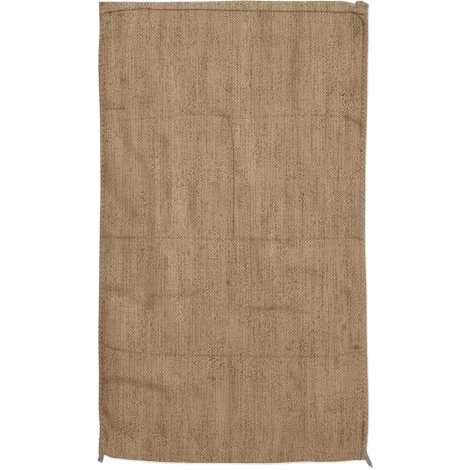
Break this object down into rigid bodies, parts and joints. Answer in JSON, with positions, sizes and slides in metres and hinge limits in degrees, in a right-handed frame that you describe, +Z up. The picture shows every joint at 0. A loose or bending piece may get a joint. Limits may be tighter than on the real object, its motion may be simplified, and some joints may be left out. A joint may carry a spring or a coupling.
{
  "type": "jute sack",
  "caption": "Empty jute sack lying flat: one plain-weave cloth folded up at the bottom, hemmed at the open mouth, with overedged twine seams and short free tails at the sides.",
  "frame": {"origin": "centre of the sack's outline on the surface that it lies on, tails included", "axes": "+X across the sack to the right as seen from above with the mouth away, +Y along it towards the open mouth, +Z up out of the surface"},
  "size_m": [0.6198, 1.0462, 0.0129],
  "materials": {
    "jute_cloth": "matt coarse plain weave",
    "jute_twine": "matt hairy twine"
  },
  "bodies": {
    "root": {"sack_cloth": "jute_cloth", "seam_left": "jute_twine", "seam_right": "jute_twine"}
  },
  "joints": []
}
